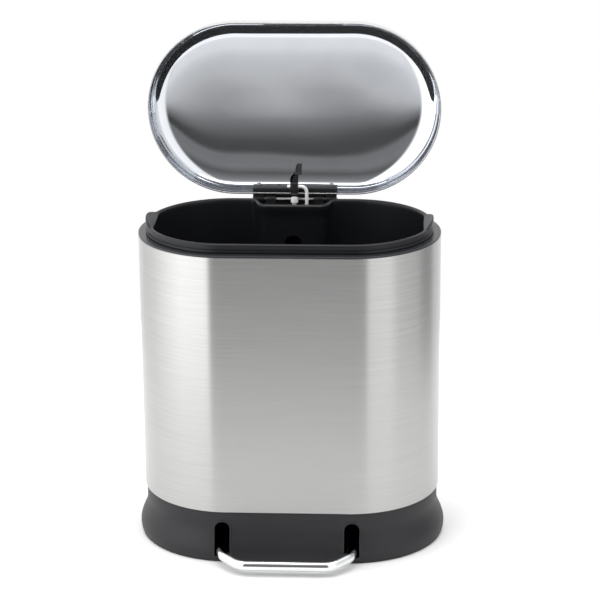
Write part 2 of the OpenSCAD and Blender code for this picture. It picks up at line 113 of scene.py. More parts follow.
class Finish:
    """A node tree for one surface finish."""

    def __init__(self, owner):
        owner.use_nodes = True
        self.owner, self.tree = owner, owner.node_tree
        self.tree.nodes.clear()

    def node(self, kind, settings=None, inputs=None, out=0):
        """Adds a node. settings are set first (ramp is a list of (place, grey) in order), then inputs."""
        n = self.tree.nodes.new(kind)
        for key, value in (settings or {}).items():
            if key == "ramp":
                stops = n.color_ramp.elements
                stops.remove(stops[1])
                stops[0].position = value[0][0]
                stops[0].color = (value[0][1],) * 3 + (1,)
                for place, grey in value[1:]:
                    stops.new(place).color = (grey, grey, grey, 1)
            else:
                setattr(n, key, value)
        for key, value in (inputs or {}).items():
            if isinstance(value, Value):
                self.tree.links.new(value.socket, n.inputs[key])
            else:
                n.inputs[key].default_value = value
        return Value(self, n.outputs[out])

    def place(self, scale=(1, 1, 1)):
        """Object coordinates in metres, stretched by scale."""
        at = self.node("ShaderNodeTexCoord", out="Object")
        return self.node("ShaderNodeMapping", None, {"Vector": at, "Scale": scale})

    def noise(self, scale, stretch=(1, 1, 1), detail=3.0, rough=0.55):
        """Smooth noise, about scale times stretch waves to the metre along each axis."""
        return self.node("ShaderNodeTexNoise", None, {
            "Vector": self.place(stretch), "Scale": scale, "Detail": detail, "Roughness": rough})

    def blend(self, amount, low, high):
        """The colour low where amount is 0 and high where it is 1."""
        return self.node("ShaderNodeMix", {"data_type": "RGBA"},
                         {0: amount, 6: (*low, 1), 7: (*high, 1)}, out=2)

    def bump(self, height, distance, strength):
        """A normal tilted by a height that varies; distance is in metres."""
        return self.node("ShaderNodeBump", None, {"Height": height, "Distance": distance, "Strength": strength})

    def surface(self, **inputs):
        shader = self.node("ShaderNodeBsdfPrincipled", None,
                           {k.replace("_", " "): v for k, v in inputs.items()})
        out = self.tree.nodes.new("ShaderNodeOutputMaterial")
        self.tree.links.new(shader.socket, out.inputs[0])
        return self.owner


def finish(name):
    return Finish(bpy.data.materials.new(name))


def brushed_steel():
    """Satin steel: hair-fine level scratches, long soft streaks, a few handling smudges."""
    f = finish("brushed_steel")
    hair = f.noise(1.0, (26, 26, 5200), 2.0)
    streak = f.noise(1.0, (7, 7, 900), 3.0)
    cloud = f.noise(5.0, detail=2.0)
    tone = (hair * 0.45 + streak * 0.55).step(0.30, 0.70)
    return f.surface(
        Base_Color=f.blend(tone, (0.425, 0.425, 0.42), (0.485, 0.485, 0.48)),
        Metallic=1.0, Roughness=0.235 + streak * 0.03 + cloud * 0.02,
        Anisotropic=0.95, Anisotropic_Rotation=0.25,
        Normal=f.bump(hair, 0.000004, 0.3))


def mirror_steel():
    """Polished steel: bright, with faint rolling waves and smudges."""
    f = finish("mirror_steel")
    smudge = f.noise(16.0, detail=4.0)
    wave = f.noise(6.5, (1, 1, 1.5), 0.0)
    return f.surface(
        Base_Color=f.blend(smudge.step(0.35, 0.75), (0.68, 0.70, 0.735), (0.645, 0.665, 0.70)),
        Metallic=0.95, Roughness=0.04 + smudge.step(0.45, 0.8) * 0.05,
        Normal=f.bump(wave, 0.0034, 0.6))


def lid_outside_steel():
    """The outside of the lid: satin steel brushed from left to right."""
    f = finish("lid_outside_steel")
    hair = f.noise(1.0, (9, 900, 900), 2.0)
    streak = f.noise(1.0, (5, 300, 300), 3.0)
    return f.surface(
        Base_Color=f.blend(hair.step(0.3, 0.7), (0.62, 0.62, 0.615), (0.74, 0.74, 0.735)),
        Metallic=1.0, Roughness=0.24 + streak * 0.08, Normal=f.bump(hair, 0.000004, 0.2))


def plated(name, low, high, rough, spread, grain=900.0, wear=0.0, metallic=1.0):
    """Bare or plated metal with fine mottling; wear adds duller rubbed patches."""
    f = finish(name)
    mottle = f.noise(grain, detail=2.0)
    rub = f.noise(45.0, detail=4.0).step(0.52, 0.72)
    return f.surface(
        Base_Color=f.blend(mottle.step(0.3, 0.7), low, high), Metallic=metallic,
        Roughness=rough + mottle * spread + rub * wear, Normal=f.bump(mottle, 0.00003, 0.25))


def moulded(name, low, high, rough, grain, depth, spread=0.08, gloss=0.5):
    """Moulded plastic: fine spark-eroded grain, slow colour drift and faint scuffs."""
    f = finish(name)
    fine = f.noise(grain, detail=2.0)
    drift = f.noise(9.0, detail=3.0)
    scuff = f.noise(1.0, (60, 60, 420), 3.0).step(0.60, 0.80)
    return f.surface(
        Base_Color=f.blend((fine * 0.5 + drift * 0.5).step(0.32, 0.68), low, high),
        Roughness=rough + fine * spread - scuff * 0.05, Specular_IOR_Level=gloss,
        Normal=f.bump(fine, depth, 0.5))


STEEL = brushed_steel()
MIRROR = mirror_steel()
LID_OUTSIDE = lid_outside_steel()
CHROME = plated("chrome_plating", (0.80, 0.81, 0.82), (0.84, 0.845, 0.85), 0.04, 0.03, 300.0, 0.06)
ROLLED_EDGE = plated("rolled_edge_steel", (0.34, 0.345, 0.36), (0.44, 0.445, 0.46), 0.20, 0.10, 400.0, 0.08)
WIRE = plated("bright_wire", (0.92, 0.92, 0.93), (0.98, 0.98, 0.98), 0.36, 0.10, 700.0, 0.06, 0.25)
ZINC = plated("zinc_plating", (0.52, 0.53, 0.54), (0.66, 0.67, 0.68), 0.28, 0.16, 500.0, 0.10)
COLLAR = moulded("collar_plastic", (0.017, 0.018, 0.021), (0.026, 0.027, 0.031),
                 0.26, 1500.0, 0.00002, gloss=0.38)
BASE = moulded("base_plastic", (0.0088, 0.0090, 0.0112), (0.0135, 0.0138, 0.0160),
               0.45, 2200.0, 0.00005, gloss=0.40)
BUCKET = moulded("bucket_plastic", (0.0045, 0.0050, 0.0065), (0.0080, 0.0086, 0.0105),
                 0.36, 1800.0, 0.00003, gloss=0.34)
FITTING = moulded("fitting_plastic", (0.010, 0.010, 0.011), (0.020, 0.020, 0.021), 0.38, 1500.0, 0.00003)
RUBBER = moulded("foot_rubber", (0.012, 0.012, 0.012), (0.022, 0.022, 0.021), 0.70, 1200.0, 0.00006)
NYLON = moulded("white_nylon", (0.90, 0.90, 0.89), (0.96, 0.96, 0.95), 0.32, 900.0, 0.00002)


# ---- surfaces ----
def oval(radius, half=None, arc=64, flat=24, spread=0.0):
    """Points and outward normals round a stadium, anticlockwise from above.

    Straight parts run at y = -radius and y = +radius for |x| < half; the ends are
    (half + radius cos t, radius sin t), t from -90 to 90 degrees, and its mirror.
    """
    half = HALF if half is None else half
    x = np.linspace(-half, half, flat, endpoint=False)
    t = np.linspace(-np.pi / 2, np.pi / 2, arc, endpoint=False)
    one = np.ones_like(x)
    points = np.concatenate([
        np.stack([x, -radius * one], 1),
        np.stack([half + radius * np.cos(t), radius * np.sin(t)], 1),
        np.stack([-x, radius * one], 1),
        np.stack([-half - radius * np.cos(t), -radius * np.sin(t)], 1)])
    normals = np.concatenate([
        np.stack([0 * x, -one], 1), np.stack([np.cos(t), np.sin(t)], 1),
        np.stack([0 * x, one], 1), np.stack([-np.cos(t), -np.sin(t)], 1)])
    return points, normals


def softened(corners, radius, steps=5):
    """A closed outline whose corners are rounded.

    Each corner C is replaced by (1-s)^2 A + 2s(1-s) C + s^2 B, where A and B lie
    on its two sides, radius away from it or 0.45 of the side if that is less.
    """
    c = np.array(corners, float)
    r = np.broadcast_to(np.array(radius, float), (len(c),))[:, None]
    back, ahead = np.roll(c, 1, 0) - c, np.roll(c, -1, 0) - c
    lb, la = np.linalg.norm(back, axis=1)[:, None], np.linalg.norm(ahead, axis=1)[:, None]
    a, b = c + back / lb * np.minimum(r, 0.45 * lb), c + ahead / la * np.minimum(r, 0.45 * la)
    s = np.linspace(0, 1, steps + 1)[None, :, None]
    return ((1 - s) ** 2 * a[:, None] + 2 * s * (1 - s) * c[:, None] + s ** 2 * b[:, None]).reshape(-1, 2)


def sweep(path, section):
    """Carries a section (out, z) along a level path: P(u, v) = path(u) + out(v) normal(u), z(v)."""
    points, normals = path
    flat = points[:, None] + normals[:, None] * section[None, :, :1]
    z = np.broadcast_to(section[None, :, 1:], flat.shape[:2] + (1,))
    return np.concatenate([flat, z], 2)


def lathe(section, centre, axis="z", around=48):
    """Turns a section (r, h) about an axis through centre: r(cos t, sin t) across it and h along it."""
    t = np.linspace(0, 2 * np.pi, around, endpoint=False)[:, None]
    r, h = section[None, :, 0], section[None, :, 1]
    across, up, along = r * np.cos(t), r * np.sin(t), h + 0 * t
    order = {"z": (across, up, along), "x": (along, across, up), "y": (up, along, across)}[axis]
    return np.stack(order, 2) + np.array(centre, float)


def tube(path, radius, around=40, cap=4):
    """A round bar on a path: P(u, v) = path + r(u)(cos v N + sin v B).

    N and B are square to the path, and r falls to 0 in a quarter circle at each end.
    """
    p = np.array(path, float)
    tangent = np.gradient(p, axis=0)
    tangent /= np.linalg.norm(tangent, axis=1)[:, None]
    flat = np.cross(p[1] - p[0], p[len(p) // 2] - p[0])
    flat = flat / np.linalg.norm(flat)
    side = np.cross(tangent, flat)
    a = np.linspace(np.pi / 2, 0, cap, endpoint=False)
    head = p[0] - tangent[0] * (radius * 0.3 * np.sin(a))[:, None]
    tail = (p[-1] + tangent[-1] * (radius * 0.3 * np.sin(a))[:, None])[::-1]
    p = np.concatenate([head, p, tail])
    side = np.concatenate([np.repeat(side[:1], cap, 0), side, np.repeat(side[-1:], cap, 0)])
    r = np.concatenate([radius * np.cos(a), np.full(len(tangent), radius), radius * np.cos(a)[::-1]])
    v = np.linspace(0, 2 * np.pi, around, endpoint=False)[None, :, None]
    return p[:, None] + r[:, None, None] * (np.cos(v) * side[:, None] + np.sin(v) * flat)


def bent(corners, radius, step=1.5):
    """A line through corners in space with each inner corner turned on an arc of that radius."""
    c = [np.array(q, float) for q in corners]
    out = [c[0]]
    for before, corner, after in zip(c, c[1:], c[2:]):
        a, b = before - corner, after - corner
        a, b = a / np.linalg.norm(a), b / np.linalg.norm(b)
        angle = np.arccos(np.clip(a @ b, -1, 1))
        middle = corner + (a + b) / np.linalg.norm(a + b) * radius / np.sin(angle / 2)
        start, end = corner + a * radius / np.tan(angle / 2), corner + b * radius / np.tan(angle / 2)
        turn = np.pi - angle
        t = np.linspace(0, turn, max(6, int(turn * radius / step)))[:, None]
        along = -a
        out += list(middle + np.cos(t) * (start - middle) + np.sin(t) * along * radius)
        out[-1] = end
    out.append(c[-1])
    p = np.array(out)
    # even steps on the long straights keep the ends of each bend crisp
    gaps = np.linalg.norm(np.diff(p, axis=0), axis=1)
    parts = [p[i] + (p[i + 1] - p[i]) * np.linspace(0, 1, max(1, int(g / 12)), endpoint=False)[:, None]
             for i, g in enumerate(gaps)]
    return np.concatenate(parts + [p[-1:]])


def slab(outline, low, high, edge, to_space):
    """A plate between two heights: its outline, drawn in by edge(1 - sin t) where its rims are rounded."""
    p = np.array(outline, float)
    along = np.roll(p, -1, 0) - np.roll(p, 1, 0)
    along /= np.linalg.norm(along, axis=1)[:, None]
    out = np.stack([along[:, 1], -along[:, 0]], 1)
    area = np.sum(p[:, 0] * np.roll(p[:, 1], -1) - p[:, 1] * np.roll(p[:, 0], -1))
    out *= np.sign(area)
    t = np.linspace(0, np.pi / 2, 5)
    inset = np.concatenate([edge * (1 - np.sin(t)), edge * (1 - np.sin(t))[::-1]])
    height = np.concatenate([low + edge * (1 - np.cos(t)), (high - edge * (1 - np.cos(t)))[::-1]])
    rings = p[None] - out[None] * inset[:, None, None]
    h = np.broadcast_to(height[:, None], rings.shape[:2])
    return np.stack(to_space(rings[..., 0], rings[..., 1], h), 2)


def faces_of(nu, nv, wrap, start):
    """Quads of an nu by nv grid, closed round in u or v where wrap says."""
    u, v = np.arange(nu if wrap[0] else nu - 1)[:, None], np.arange(nv if wrap[1] else nv - 1)[None]
    un, vn = (u + 1) % nu, (v + 1) % nv
    quad = np.stack([u * nv + v, un * nv + v, un * nv + vn, u * nv + vn], 2).reshape(-1, 4) + start
    return quad.tolist()


def mesh_of(name, grids, paint=None):
    """A mesh from closed grids of (points, (wrap u, wrap v)). An open u with a closed v is capped at both ends.

    paint gives a material number for each column of faces along v.
    """
    verts, faces, start = [], [], 0
    for points, wrap in grids:
        nu, nv = points.shape[:2]
        verts.append(points.reshape(-1, 3) * MM)
        faces += faces_of(nu, nv, wrap, start)
        if wrap == (False, True):
            faces += [list(range(start, start + nv)), list(range(start + (nu - 1) * nv, start + nu * nv))]
        start += nu * nv
    mesh = bpy.data.meshes.new(name)
    mesh.from_pydata(np.concatenate(verts).tolist(), [], faces)
    if paint is not None:
        mesh.polygons.foreach_set("material_index", np.tile(paint, len(faces) // len(paint)).astype(np.int32))
    bm = bmesh.new()
    bm.from_mesh(mesh)
    bmesh.ops.remove_doubles(bm, verts=bm.verts, dist=1e-6)
    bmesh.ops.recalc_face_normals(bm, faces=bm.faces)
    bm.to_mesh(mesh)
    bm.free()
    return mesh


def piece(name, grids, material, body, stands_for=(), sharp=38, cutters=(), added=(), paint=None):
    """One object: its grids, with the cutters taken out of them, and then the added grids."""
    materials = list(material) if isinstance(material, (list, tuple)) else [material]
    obj = bpy.data.objects.new(name, mesh_of(name, grids, paint))
    bpy.context.collection.objects.link(obj)
    if cutters:
        hollow(obj, cutters)
    if added:
        bm = bmesh.new()
        bm.from_mesh(obj.data)
        bm.from_mesh(mesh_of("added", added))
        bm.to_mesh(obj.data)
        bm.free()
    while len(obj.data.materials) > len(materials):
        obj.data.materials.pop()
    while len(obj.data.materials) < len(materials):
        obj.data.materials.append(None)
    for i, m in enumerate(materials):
        obj.data.materials[i] = m
    obj.data.shade_smooth()
    obj.data.set_sharp_from_angle(angle=math.radians(sharp))
    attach(obj, body)
    if stands_for:
        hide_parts(*stands_for)
    return obj


def hollow(obj, cutters):
    """Cuts closed grids out of an object, and keeps the result as its mesh."""
    tools = []
    for i, (points, wrap) in enumerate(cutters):
        nu, nv = points.shape[:2]
        faces = faces_of(nu, nv, wrap, 0) + [list(range(nv)), list(range((nu - 1) * nv, nu * nv))]
        mesh = bpy.data.meshes.new("cut")
        mesh.from_pydata((points.reshape(-1, 3) * MM).tolist(), [], faces)
        bm = bmesh.new()
        bm.from_mesh(mesh)
        bmesh.ops.recalc_face_normals(bm, faces=bm.faces)
        bm.to_mesh(mesh)
        bm.free()
        tool = bpy.data.objects.new("cut%d" % i, mesh)
        bpy.context.collection.objects.link(tool)
        tools.append(tool)
        cut = obj.modifiers.new("cut%d" % i, "BOOLEAN")
        cut.operation, cut.solver, cut.object = "DIFFERENCE", "EXACT", tool
    bpy.context.view_layer.update()
    done = bpy.data.meshes.new_from_object(obj.evaluated_get(bpy.context.evaluated_depsgraph_get()))
    obj.modifiers.clear()
    obj.data = done
    for tool in tools:
        bpy.data.objects.remove(tool)


def dress(material, *nodes):
    """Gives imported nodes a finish, with their edges slightly broken so that they catch the light."""
    for name in nodes:
        node = NODES[name]
        node.data.materials.clear()
        node.data.materials.append(material)
        weld = node.modifiers.new("weld", "WELD")
        weld.merge_threshold = 0.000005
        edge = node.modifiers.new("edge", "BEVEL")
        edge.width, edge.segments, edge.limit_method = 0.0003, 2, "ANGLE"
        edge.angle_limit = math.radians(40)


# ---- steel body, collar and base ----
def body_path():
    """The body's oval, with close pairs of points beside the housing so that the cut there has upright edges."""
    points, normals = oval(BODY_R, arc=96, flat=16)
    back = (points[:, 1] > BODY_R - 1e-6)
    edge = HOUSE_HALF + 0.5
    x = np.concatenate([np.linspace(HALF, edge, 6), np.linspace(edge - 0.001, 0.001 - edge, 12),
                        np.linspace(-edge, -HALF, 6)])[:, None]
    first = int(np.argmax(back))
    count = int(back.sum())
    strip = np.concatenate([x, BODY_R + 0 * x], 1)
    return (np.concatenate([points[:first], strip[:-1], points[first + count:]]),
            np.concatenate([normals[:first], np.repeat([[0, 1.0]], len(strip) - 1, 0), normals[first + count:]]))


def steel_body():
    """A thin upright wall round the oval, from the hem up to the ledge and lower behind the housing, with a lap."""
    section = softened([(0, SHELL_Z0), (0, SHELL_Z1), (-SHEET, SHELL_Z1), (-SHEET, SHELL_Z0 + 1.6),
                        (-2.4, SHELL_Z0 + 1.6), (-2.4, SHELL_Z0)], [0.9, 0.15, 0.15, 0.2, 0.4, 0.4])
    path = body_path()
    wall = sweep(path, section)
    behind = (np.abs(path[0][:, 0]) < HOUSE_HALF + 0.4999) & (path[0][:, 1] > BODY_R - 0.01)
    high = wall[..., 2] > SHELL_Z1 - 1
    wall[..., 2] = np.where(behind[:, None] & high, wall[..., 2] - SHELL_Z1 + house_lo[2] - 0.5, wall[..., 2])
    lap = slab(softened([(-7, SHELL_Z0 + 1), (7, SHELL_Z0 + 1), (7, house_lo[2] - 6), (-7, house_lo[2] - 6)], 0.8),
               BODY_R - 0.3, BODY_R + 0.6, 0.25, lambda a, b, h: (a, h, b))
    piece("steel_body", [(wall, (True, True)), (lap, (False, True))], STEEL, "bin_body",
          ["steel_shell"])


def collar():
    """The ledge on top of the wall: a soft-edged strip round the oval that stops at both sides of the housing."""
    points, normals = oval(BODY_R, arc=96, flat=16)
    edge = HOUSE_HALF + 0.3
    behind = (np.abs(points[:, 0]) < edge) & (points[:, 1] > BODY_R - 0.01)
    start = int(np.argmax(behind))
    kept = ~np.roll(behind, -start)
    ring, ring_out = np.roll(points, -start, 0)[kept], np.roll(normals, -start, 0)[kept]
    path = (np.concatenate([[[-edge, BODY_R]], ring, [[edge, BODY_R]]]),
            np.concatenate([[[0, 1.0]], ring_out, [[0, 1.0]]]))
    z = LEDGE_Z
    section = softened([(0, z), (0, z - 2.5), (-0.9, z - 2.5), (-0.9, z - 18.5), (-3.1, z - 18.5), (-3.1, z - 2.5),
                        (-13.5, z - 2.5), (-13.5, z - 8.5), (-15.5, z - 8.5), (-15.5, z)],
                       [0.9, 0.2, 0.1, 0.3, 0.3, 0.3, 0.3, 0.3, 0.3, 0.7])
    piece("collar", [(sweep(path, section), (False, True))], COLLAR, "bin_body", ["collar_ring"])


def flare(z):
    """How far the base stands out of the body at height z: a half cosine from 8 at z = 12 down to -2 at z = 48."""
    curve = -2 + 10 * (0.5 + 0.5 * np.cos(np.pi * np.clip((z - 12) / 36, 0, 1)))
    return np.where(z < 12, 8 - 2.3 * ((12 - z) / 12) ** 1.6, curve)


def slot_outline(x, grow):
    """A doorway shape: straight sides, a half-round head and small round feet."""
    t = np.linspace(0, np.pi, 25)
    w = SLOT_HALF + grow
    head = np.stack([x + w * np.cos(t), 44 + w * np.sin(t)], 1)
    foot = softened([(x - w, 30), (x - w, 9 - grow), (x + w, 9 - grow), (x + w, 30)], [0.1, 3 + grow, 3 + grow, 0.1])
    return np.concatenate([head, foot])


def base():
    """The skirt: its wall is flare(z) on the oval, 3 thick, with a raised lip round each slot."""
    z = np.concatenate([np.linspace(0.8, 12, 10, endpoint=False), np.linspace(12, 48, 30, endpoint=False),
                        np.linspace(48, SHELL_Z0 - 0.6, 4)])
    outer = np.stack([flare(z), z], 1)
    top = np.array([(-2.2, SHELL_Z0), (-11, SHELL_Z0), (-11, SHELL_Z0 - 3), (-5, SHELL_Z0 - 3)])
    inner = np.stack([flare(z) - 3, z], 1)[::-1][1:]
    inner[-1] += (0.4, 0)
    wall = sweep(oval(BODY_R, arc=96, flat=24), np.concatenate([outer, top, inner]))
    grids = []
    for x in (-SLOT_X, SLOT_X):
        # lip: the outline grown from 0 to 2.5, lifted off the wall by 1.2 sin of the way across
        a = np.linspace(0, np.pi, 11)
        rings = np.stack([slot_outline(x, g) for g in 1.25 - 1.25 * np.cos(a)], 1)
        lift = 1.2 * np.sin(a) ** 0.7
        rings = np.concatenate([rings, rings[:, -1:], rings[:, :1]], 1)
        lift = np.concatenate([lift, [-3.2, -3.2]])[None]
        out = BODY_R + flare(rings[..., 1]) + lift
        over = np.maximum(np.abs(rings[..., 0]) - HALF, 0)
        y = -np.sqrt(out ** 2 - over ** 2)
        grids.append((np.stack([rings[..., 0], y, rings[..., 1]], 2), (True, True)))
    posts = [(s * 60, t * (BODY_R - 12)) for s in (-1, 1) for t in (-1, 1)]
    posts += [(s * (HALF + BODY_R - 12), 0) for s in (-1, 1)]
    post = softened([(2, 6.2), (5, 6.2), (5, 24.2), (2, 24.2)], 0.3, 2)
    grids += [(lathe(post, (x, y, 0), around=24), (True, True)) for x, y in posts]
    cuts = []
    for x in (-SLOT_X, SLOT_X):
        door = slot_outline(x, 0)
        depth = np.array([-95.0, -150.0])
        cuts.append((np.stack([np.broadcast_to(door[None, :, 0], (2, len(door))),
                               np.broadcast_to(depth[:, None], (2, len(door))),
                               np.broadcast_to(door[None, :, 1], (2, len(door)))], 2), (False, True)))
    relief = np.array([(-14, 90), (32, 90), (32, 115), (-14, 115)], float)
    cuts.append((np.stack([np.broadcast_to(relief[None, :, 0], (2, 4)), np.broadcast_to(relief[None, :, 1], (2, 4)),
                           np.broadcast_to(np.array([[64.5], [71.0]]), (2, 4))], 2), (False, True)))
    piece("base", [(wall, (True, True))], BASE, "bin_body", ["base_skirt"], 32, cuts, grids)


# ---- bucket ----
def bucket_ring(r, grow):
    """Half-turn pieces of the bucket outline at end radius r, mirrored left to right.

    The recess at the back keeps its place: its flat is at 77.5 - grow, its inner
    corners turn on radius 12 + grow, and a slanting cubic curve leads out to the back.
    """
    cx = BUCKET_HALF
    line = lambda a, b, n: a + (b - a) * np.linspace(0, 1, n, endpoint=False)[:, None]
    arc = lambda c, rad, a0, a1, n: np.array(c) + rad * np.stack([
        np.cos(np.radians(np.linspace(a0, a1, n, endpoint=False))),
        np.sin(np.radians(np.linspace(a0, a1, n, endpoint=False)))], 1)
    s = np.linspace(0, 1, 17)[:-1, None]
    a = np.radians(-22)
    low = np.array([33 + (12 + grow) * math.cos(a), 89.5 + (12 + grow) * math.sin(a)])
    high = np.array([60.0, r])
    pull_high, pull_low = high + (-9.5, 0), low + np.array([-math.sin(a), math.cos(a)]) * 9
    flank = (1 - s) ** 3 * high + 3 * (1 - s) ** 2 * s * pull_high + 3 * (1 - s) * s ** 2 * pull_low + s ** 3 * low
    half = np.concatenate([
        line(np.array([0.0, -r]), np.array([cx, -r]), 14),
        arc((cx, 0), r, -90, 90, 120),
        line(np.array([cx, r]), high, 5),
        flank,
        arc((33, 89.5), 12 + grow, -22, -90, 10),
        line(np.array([33.0, 77.5 - grow]), np.array([0.0, 77.5 - grow]), 14),
        [[0.0, 77.5 - grow]]])
    return np.concatenate([half, (half * (-1, 1))[::-1][1:-1]])


def bucket():
    """A one-piece tub: rounded lip, tapering wall and flat floor; the lip rises into an ear at each end."""
    t = np.radians(np.linspace(0, 90, 7))
    rows = [(109.0, -1.6, 423.9, 109.0, 423.9), (109.4, -2, 424.4, 109.4, 424.4), (109.4, -2, 427.4, 109.4, 427.4),
            (109.2, -1.8, 427.9, 109.2, 427.9), (108.2, -0.8, 428.2, 108.2, 428.6), (108.2, -0.8, 428.9, 108.3, 430),
            (108.8, -1.4, 429.3, 109.0, 431.5), (108.9, -1.5, 432.4, 109.4, 437)]
    rows += [(106.5 + 2.4 * c, 0.9 - 2.4 * c, 433.6 + 2.4 * s, 108.6 + 0.8 * c, 442.1 + 0.8 * s)
             for c, s in zip(np.cos(t), np.sin(t))]
    rows += [(104.9, 2.5, 436, 107.9, 442.8), (104.4, 3.0, 435.8, 106.6, 441.6), (103.8, 3.5, 435.2, 102.6, 437.9),
             (103.0, 4.2, 434.9, 98.6, 435.4), (102.4, 4.6, 434.5, 96.4, 434.5), (102.1, 4.8, 433.6, 96.0, 433.4),
             (102.0, 4.4, 430, 98.2, 429.6), (101.95, 3.4, 425, 101.9, 425), (101.9, 2.4, 421, 101.9, 421)]
    depth = np.linspace(415, 72, 14)
    rows += [(97 + 4.9 * (d - 65) / 356, 2, d, 97 + 4.9 * (d - 65) / 356, d) for d in depth]
    rows += [(96.6, 2.4, 68.2, 96.6, 68.2), (95.0, 4, 66.0, 95.0, 66.0), (93, 6, 65.5, 93, 65.5)]
    inside = len(rows)
    rows += [(93, 6, 63, 93, 63), (98, 1, 63.2, 98, 63.2), (99, 0, 64.5, 99, 64.5)]
    rows += [(99 + 5 * (d - 63) / 371, 0, d, 99 + 5 * (d - 63) / 371, d) for d in np.linspace(80, 421, 10)]
    rows += [(104, 0, 423.6, 104, 423.6)]
    rings = []
    for r, grow, z, ear_r, ear_z in rows:
        plain, raised = bucket_ring(r, grow), bucket_ring(ear_r, grow)
        angle = np.degrees(np.arctan2(np.abs(plain[:, 1]), np.abs(plain[:, 0]) - BUCKET_HALF))
        lift = np.clip((21.0 - angle) / 19.0, 0, 1)
        lift = (lift ** 1.4 * (2.4 - 1.4 * lift))[:, None]
        xy = plain + (raised - plain) * lift
        rings.append(np.concatenate([xy, z + (ear_z - z) * lift], 1))
    grid = np.stack(rings, 1)
    # the floor closes on one point above and one below
    centre = np.array([0, -10, 0])
    w = np.linspace(1, 0, 6)[None, 1:, None]
    def closed(ring, flip):
        middle = centre + np.array([0, 0, 1]) * ring[:, 2:3].mean()
        fan = middle[None, None] + (ring[:, None] - middle) * (w if not flip else w[:, ::-1])
        return fan
    top = closed(grid[:, inside - 1], False)
    under = closed(grid[:, inside], True)
    grid = np.concatenate([grid[:, :inside], top, under, grid[:, inside:]], 1)
    hole_t = np.linspace(0, 2 * np.pi, 48, endpoint=False)
    hole = np.stack([np.stack([11.5 * np.cos(hole_t), np.full(48, y), 381 + 11.5 * np.sin(hole_t)], 1)
                     for y in (60.0, 90.0)])
    piece("bucket", [(grid, (True, True))], BUCKET, "bin_body", ["inner_bucket"], 34,
          [(hole, (False, True))])


# ---- lid ----
def opened(p):
    """Turns points of the shut lid back by a quarter turn about the pin."""
    return np.stack([p[..., 0], PIN_Y + p[..., 2] - PIN_Z, PIN_Z + PIN_Y - p[..., 1]], p.ndim - 1)


def lid_section(t):
    """(radius, height) from the rim to the middle, t in from the outside.

    The wall rises 20. Above it h = 20 + k(0.78 sqrt(1 - q^9) + 0.22 (1 - q^2)),
    where q goes from 1 at the wall to 0 at the middle and k is the rest of the depth.
    The inner side is this line moved in by t along its normal.
    """
    q = np.cos(np.linspace(0, np.pi / 2, 72)) ** 0.50
    full, k = LID_R - BEAD, LID_DEEP - LID_WALL
    r = np.concatenate([[LID_R - 0.85, LID_R - 0.95, LID_R - 1.05], full * q])
    crown = 0.78 * np.sqrt(np.maximum(1 - q ** 9, 0)) + 0.22 * (1 - q ** 2)
    h = np.concatenate([[2.6, 9.0, 15.0], LID_WALL + k * crown])
    dr, dh = np.gradient(r), np.gradient(h)
    length = np.hypot(dr, dh)
    r_in, h_in = r - t * dh / length, h + t * dr / length
    r_in[-1] = 0.0
    h_in[-1] = h[-1] - t
    return np.maximum(r_in, 0.0), h_in


def lid():
    """Outer and inner skin joined by a rolled bead round the rim."""
    def ring(r, z):
        flat = oval(r, arc=72, flat=24)[0]
        return np.column_stack([flat, np.full(len(flat), z)])
    def skin(t):
        return np.stack([ring(r, h) for r, h in zip(*lid_section(t))], 1)
    outer, inner = skin(0.0)[:, ::-1], skin(SHEET)
    turn = np.radians(np.linspace(60, -240, 22))
    bead = np.stack([ring(LID_R - BEAD + BEAD * np.cos(a), BEAD + BEAD * np.sin(a)) for a in turn], 1)
    grid = np.concatenate([outer, bead, inner], 1)
    grid[..., 2] += RIM_CLOSED
    paint = np.concatenate([np.ones(outer.shape[1]), np.full(bead.shape[1], 2), np.zeros(inner.shape[1] - 1)])
    piece("lid", [(opened(grid), (True, False))], [MIRROR, LID_OUTSIDE, ROLLED_EDGE], "lid",
          ["lid_shell"], 60, paint=paint)


def clamp_plate():
    """The black plate screwed into the lid above the hinge, with an arched back edge, a wire notch and one hole."""
    x = np.linspace(58, -58, 41)
    arch = np.stack([x, 444.5 + 4.5 * (1 - (x / 58) ** 4)], 1)
    front = softened([(-58, 444.5), (-58, 426), (58, 426), (58, 444.5)], [0.3, 2.5, 2.5, 0.3])
    outline = np.concatenate([front, arch])
    plate = slab(outline, LID_R - 9, LID_R - 2.8, 1.0, lambda a, b, h: (a, h, b))
    rib = slab(softened([(-40, 428.6), (40, 428.6), (40, 430.6), (-40, 430.6)], 0.8), LID_R - 9.9, LID_R - 8.2, 0.6,
               lambda a, b, h: (a, h, b))
    t = np.linspace(0, 2 * np.pi, 32, endpoint=False)
    hole = np.stack([np.stack([-22 + 2.5 * np.cos(t), np.full(32, y), 440 + 2.5 * np.sin(t)], 1)
                     for y in (LID_R - 12, LID_R)])
    seat = np.stack([np.stack([[-6.2, 6.2, 6.2, -6.2], [y] * 4, [424, 424, 428, 428]], 1)
                     for y in (LID_R - 11, LID_R)])
    piece("clamp_plate", [(opened(plate), (False, True))], FITTING, "lid", ["lid_clamp_plate"], 34,
          [(opened(hole), (False, True)), (opened(seat), (False, True))])


# ---- lift rod, its clip, plunger and pedal ----
def rod():
    """Bent wire: a short level arm at each end of a long stem that leans forward 14 in 395."""
    top, low = (ROD_Y, ROD_Z), (100.0, 56.0)
    line = bent([(-9, *top), (17, *top), (17, *low), (-1, *low)], 8)
    piece("lift_wire", [(tube(line, ROD_R), (False, True))], WIRE, "lift_rod", ["lift_rod"], 50)


